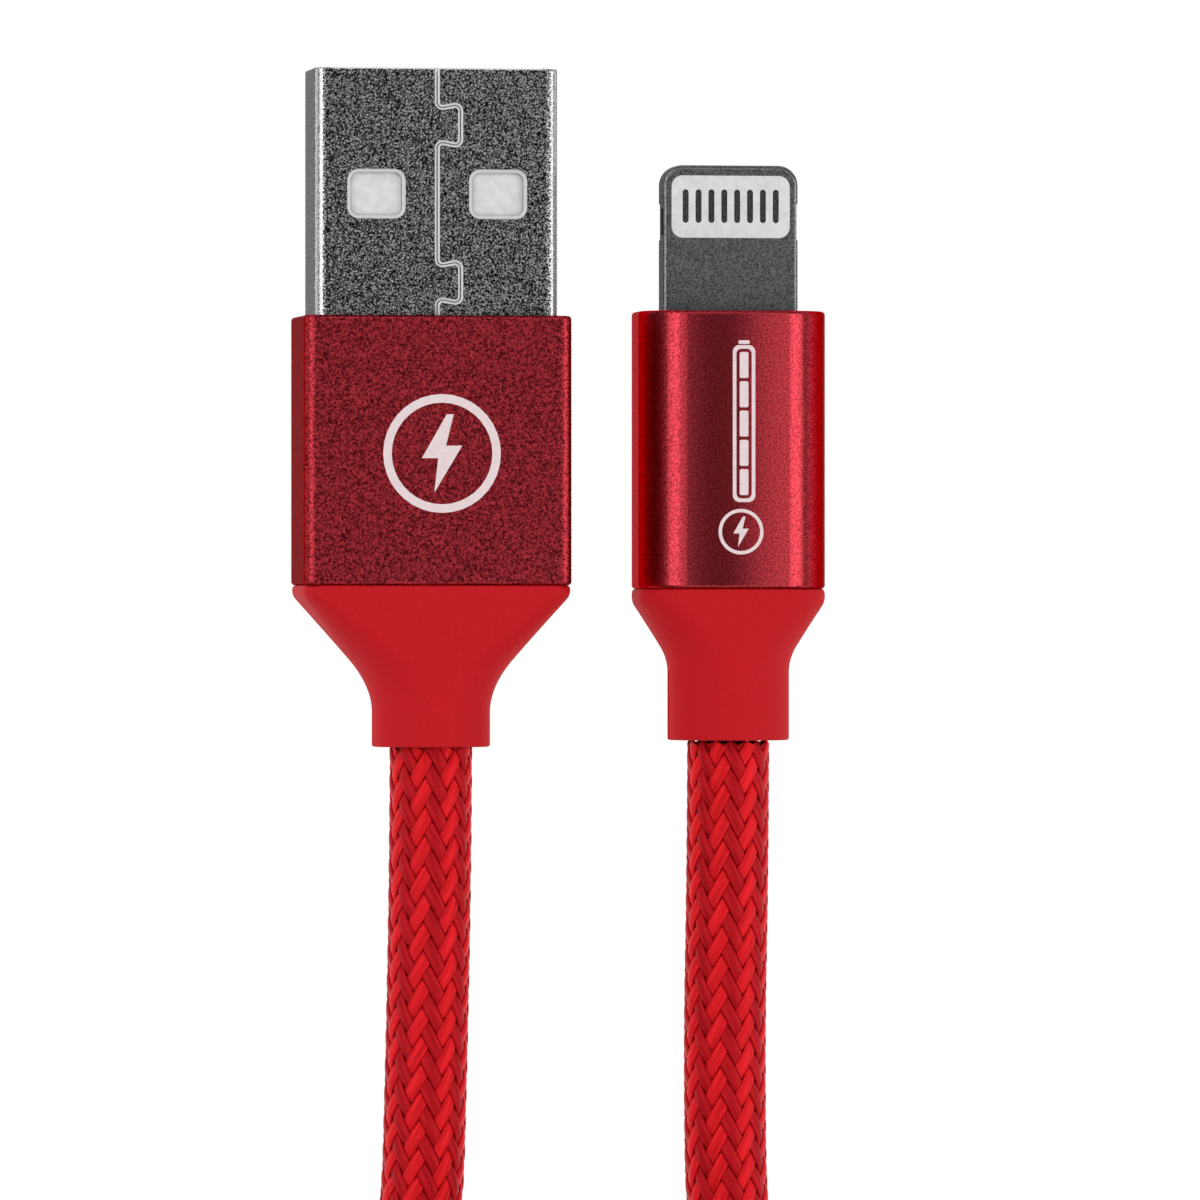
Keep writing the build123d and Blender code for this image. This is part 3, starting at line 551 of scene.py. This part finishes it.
# Its two wide faces are shaded as if crowned, by 0.9 mm at their edges, though they are flat: the height
# falls off with the square of the distance from the middle.
CROWN = -42.0  # metres of height per square metre
crown_middle = (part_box("tip_housing")[0][0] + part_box("tip_housing")[1][0]) / 2
axes = add(tip_anodised, "ShaderNodeSeparateXYZ", {0: where.outputs["Object"]})
across = add(tip_anodised, "ShaderNodeMath", {0: axes.outputs[0], 1: crown_middle}, operation="SUBTRACT")
square = add(tip_anodised, "ShaderNodeMath", {0: across.outputs[0], 1: across.outputs[0]},
             operation="MULTIPLY")
crown = add(tip_anodised, "ShaderNodeMath", {0: square.outputs[0], 1: CROWN}, operation="MULTIPLY")
arched = add(tip_anodised, "ShaderNodeBump", {"Strength": 1.0, "Distance": 1.0,
                                              "Height": crown.outputs[0]})
pitted = add(tip_anodised, "ShaderNodeBump",
             {"Strength": 0.4, "Distance": 0.00002, "Height": blasting.outputs[0],
              "Normal": arched.outputs[0]})
sleeve = add(tip_anodised, "ShaderNodeBsdfPrincipled", {"Base Color": colour.outputs[2], "Metallic": 1.0,
                                                        "Roughness": 0.27, "Specular Tint": linear("#D8646C"),
                                                        "Normal": pitted.outputs[0]})
add(tip_anodised, "ShaderNodeOutputMaterial", {"Surface": sleeve.outputs[0]})
coat(tip_anodised, "tip_housing")

# Pale print along this sleeve: a plain battery outline with its cells, and the same small charging mark.


def battery(centre, width, height, stroke, cells):
    """A rounded outline with filled cells one above another, and a short cap at its top."""
    x, y = centre
    outline = (rounded_loop(width, height, 0.3 * width, centre),
               rounded_loop(width - 2 * stroke, height - 2 * stroke, 0.3 * width - stroke / 2, centre))
    gap = stroke * 0.9
    room = height - 2 * stroke - (cells + 1) * gap
    step = room / cells + gap
    rows = y - height / 2 + stroke + gap + room / cells / 2 + step * np.arange(cells)
    inside = width - 2 * stroke - 2 * gap
    filled = [(rounded_loop(inside, room / cells, 0.00008, (x, row)), None) for row in rows]
    cap = (rounded_loop(width * 0.5, stroke, stroke * 0.4, (x, y + height / 2 + stroke * 0.8)), None)
    return [outline, *filled, cap]


tip_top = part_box("tip_housing")[1][2]
tip_shapes = battery((0.00865, -0.00075), 0.00112, 0.0077, 0.00018, 5)
tip_shapes += bolt_in_ring((0.0085, -0.00605), 0.00112, 0.00017)
printed("tip_mark", tip_shapes, tip_top + INK_LIFT)
coat(ink, "tip_mark")

# Inside the sleeves: the two hard fills moulded round the works, one white and one black, and the copper
# crimps.

coat(speckled("pbt_fill_white", "#CFCFCC", "#DDDDDA", 0.6, 0, 0.55, 0.1), "usb_inner_mould")
coat(speckled("nylon_fill_black", "#161617", "#202022", 0.6, 0, 0.55, 0.1), "tip_inner_mould")
coat(speckled("copper_crimped", "#A65A3A", "#C97A55", 0.2, 1, 0.35, 0.2), "usb_crimp_ring", "tip_crimp_ring")

# The tip's small board: green-lacquered glass laminate with its controller chip and three capacitors,
# soldered to the four wires, in a can of tinned sheet in two halves.

coat(speckled("laminate_green_lacquer", "#14502C", "#1D6B3B", 0.2, 0, 0.3, 0.15), "tip_board")
coat(speckled("epoxy_moulded_black", "#111112", "#1C1C1E", 0.15, 0, 0.5, 0.2), "tip_controller_chip")
coat(speckled("capacitor_ceramic", "#8A6A48", "#A88460", 0.15, 0, 0.45, 0.15), "tip_capacitors")
coat(speckled("tinplate_pressed", "#9A9C9E", "#C4C6C8", 0.3, 1, 0.3, 0.2), "tip_shield_can_upper",
     "tip_shield_can_lower")
coat(speckled("solder_tin_reflowed", "#8E9092", "#B8BABC", 0.2, 1, 0.25, 0.25), "usb_solder_joints",
     "tip_solder_joints")

# The four wires of each plug, in thin extruded PVC of the usual colours.

for wire, dark, light in (("power", "#A01018", "#B8161E"), ("ground", "#101011", "#1A1A1C"),
                          ("data_minus", "#D8D8D4", "#E6E6E2"), ("data_plus", "#14722E", "#1B8A3A")):
    coat(speckled(f"pvc_wire_{wire}", dark, light, 0.25, 0, 0.4, 0.1), f"usb_wire_{wire}", f"tip_wire_{wire}")

# The tie round the hank: black hook-and-loop tape, woven nylon with a napped face of small loops.

loops = new_material("hook_and_loop_napped")
where = add(loops, "ShaderNodeTexCoord")
# The loops are about 0.35 mm across, and the ground weave under them has a rib every 0.8 mm.
cells = add(loops, "ShaderNodeTexVoronoi", {"Vector": where.outputs["Object"], "Scale": 1000 / 0.35})
rib = add(loops, "ShaderNodeTexWave", {"Vector": where.outputs["Object"], "Scale": 1000 / 0.8 / 20,
                                       "Distortion": 2.0})
height = add(loops, "ShaderNodeMath", {0: cells.outputs[0], 1: rib.outputs["Fac"]}, operation="ADD")
nap = add(loops, "ShaderNodeBump", {"Strength": 0.8, "Distance": 0.0001, "Height": height.outputs[0]})
shade = add(loops, "ShaderNodeMix", {0: cells.outputs[0], 6: linear("#2A2A2C"), 7: linear("#121213")},
            data_type="RGBA")
fibre = add(loops, "ShaderNodeBsdfPrincipled", {"Base Color": shade.outputs[2], "Roughness": 0.85,
                                                "Sheen Weight": 0.4, "Sheen Roughness": 0.5,
                                                "Normal": nap.outputs[0]})
add(loops, "ShaderNodeOutputMaterial", {"Surface": fibre.outputs[0]})
coat(loops, "hank_tie")

# The studio: a table that glows an even white, two tall softboxes beside it and a pale surround that is
# darker overhead, so the flats of the metal stay dark and their rounded edges shine.

table = bpy.data.meshes.new("table")
table.from_pydata([(-1.5, -1.5, 0), (1.5, -1.5, 0), (1.5, 1.5, 0), (-1.5, 1.5, 0)], [], [(0, 1, 2, 3)])
floor = bpy.data.objects.new("floor", table)
bpy.context.collection.objects.link(floor)
glow = new_material("table_white_lit_from_below")
sheet = add(glow, "ShaderNodeBsdfPrincipled", {"Base Color": linear("#101010"), "Roughness": 0.9,
                                               "Specular IOR Level": 0.0,
                                               "Emission Color": (1, 1, 1, 1), "Emission Strength": 1.0})
add(glow, "ShaderNodeOutputMaterial", {"Surface": sheet.outputs[0]})
coat(glow, "floor")

for name, spot, size, power in (("softbox_left", (-0.42, 0.16, 0.30), (0.34, 0.5), 0.95),
                                ("softbox_right", (0.46, -0.10, 0.28), (0.30, 0.5), 1.0)):
    lamp = bpy.data.lights.new(name, "AREA")
    lamp.shape = "RECTANGLE"
    lamp.size, lamp.size_y = size
    lamp.energy = power
    box = bpy.data.objects.new(name, lamp)
    bpy.context.collection.objects.link(box)
    back = (Vector(spot) - Vector((0, 0, 0.005))).normalized()
    level = Vector((0, 1, 0)).cross(back).normalized()
    turned = Matrix((level, back.cross(level), back)).transposed().to_4x4()
    box.matrix_world = Matrix.Translation(spot) @ turned

world = bpy.data.worlds.new("surround")
bpy.context.scene.world = world
world.use_nodes = True
world.node_tree.nodes.clear()
direction = add(world, "ShaderNodeTexCoord")
parts = add(world, "ShaderNodeSeparateXYZ", {0: direction.outputs["Generated"]})
height = add(world, "ShaderNodeValToRGB", {0: parts.outputs[2]})
for at, bright in ((0.45, 0.28), (0.78, 0.98), (0.93, 0.98), (0.975, 0.07)):
    height.color_ramp.elements.new(at).color = (bright, bright, bright, 1)
height.color_ramp.elements[0].color = (0.1, 0.1, 0.1, 1)
height.color_ramp.elements[-1].color = (0.06, 0.06, 0.06, 1)
surround = add(world, "ShaderNodeBackground", {"Color": height.outputs[0], "Strength": 1.0})
add(world, "ShaderNodeOutputWorld", {"Surface": surround.outputs[0]})
bpy.context.scene.view_settings.view_transform = "Standard"
